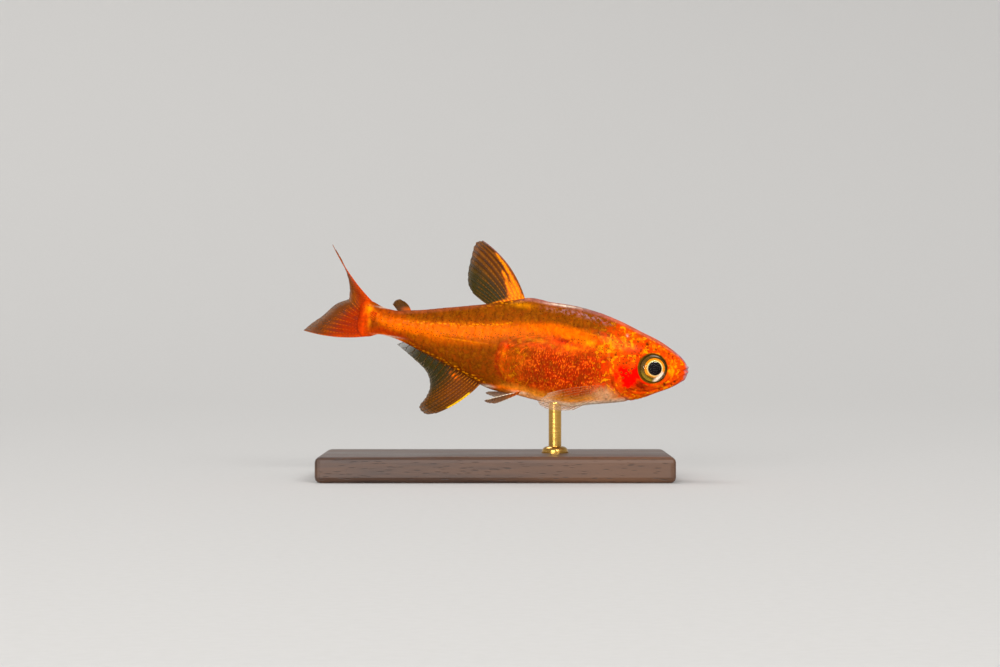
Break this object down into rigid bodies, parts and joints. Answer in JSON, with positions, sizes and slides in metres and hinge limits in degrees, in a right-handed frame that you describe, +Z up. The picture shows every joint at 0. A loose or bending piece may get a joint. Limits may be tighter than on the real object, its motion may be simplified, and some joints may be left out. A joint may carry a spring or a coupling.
{
  "type": "ember tetra display model on a flat base",
  "caption": "Still, life-size model of a small deep-bodied aquarium fish with ridged fins, held head-down on a short rod over a flat rectangular base.",
  "frame": {"origin": "centre of the base's underside, on the floor plane; the base is centred under the fish's length", "axes": "+X towards the fish's head, +Y towards its left side, +Z up; the fish is tipped 8.5 degrees head-down and shows its right side towards -Y"},
  "size_m": [0.0243, 0.012, 0.015],
  "materials": {
    "skin": "painted and clear-coated cast resin, orange with scale pattern",
    "eye": "polished, black pupil in a gold ring",
    "fin": "thin translucent tinted resin with raised rays",
    "base_wood": "satin, dark",
    "rod_metal": "polished"
  },
  "bodies": {
    "root": {"head": "skin", "torso": "skin", "tail": "skin", "eye_right": "eye", "eye_left": "eye", "dorsal_fin": "fin", "adipose_fin": "fin", "anal_fin": "fin", "caudal_fin_upper": "fin", "caudal_fin_lower": "fin", "pectoral_fin_right": "fin", "pectoral_fin_left": "fin", "pelvic_fin_right": "fin", "pelvic_fin_left": "fin", "stand_base": "base_wood", "stand_rod": "rod_metal"}
  },
  "joints": []
}
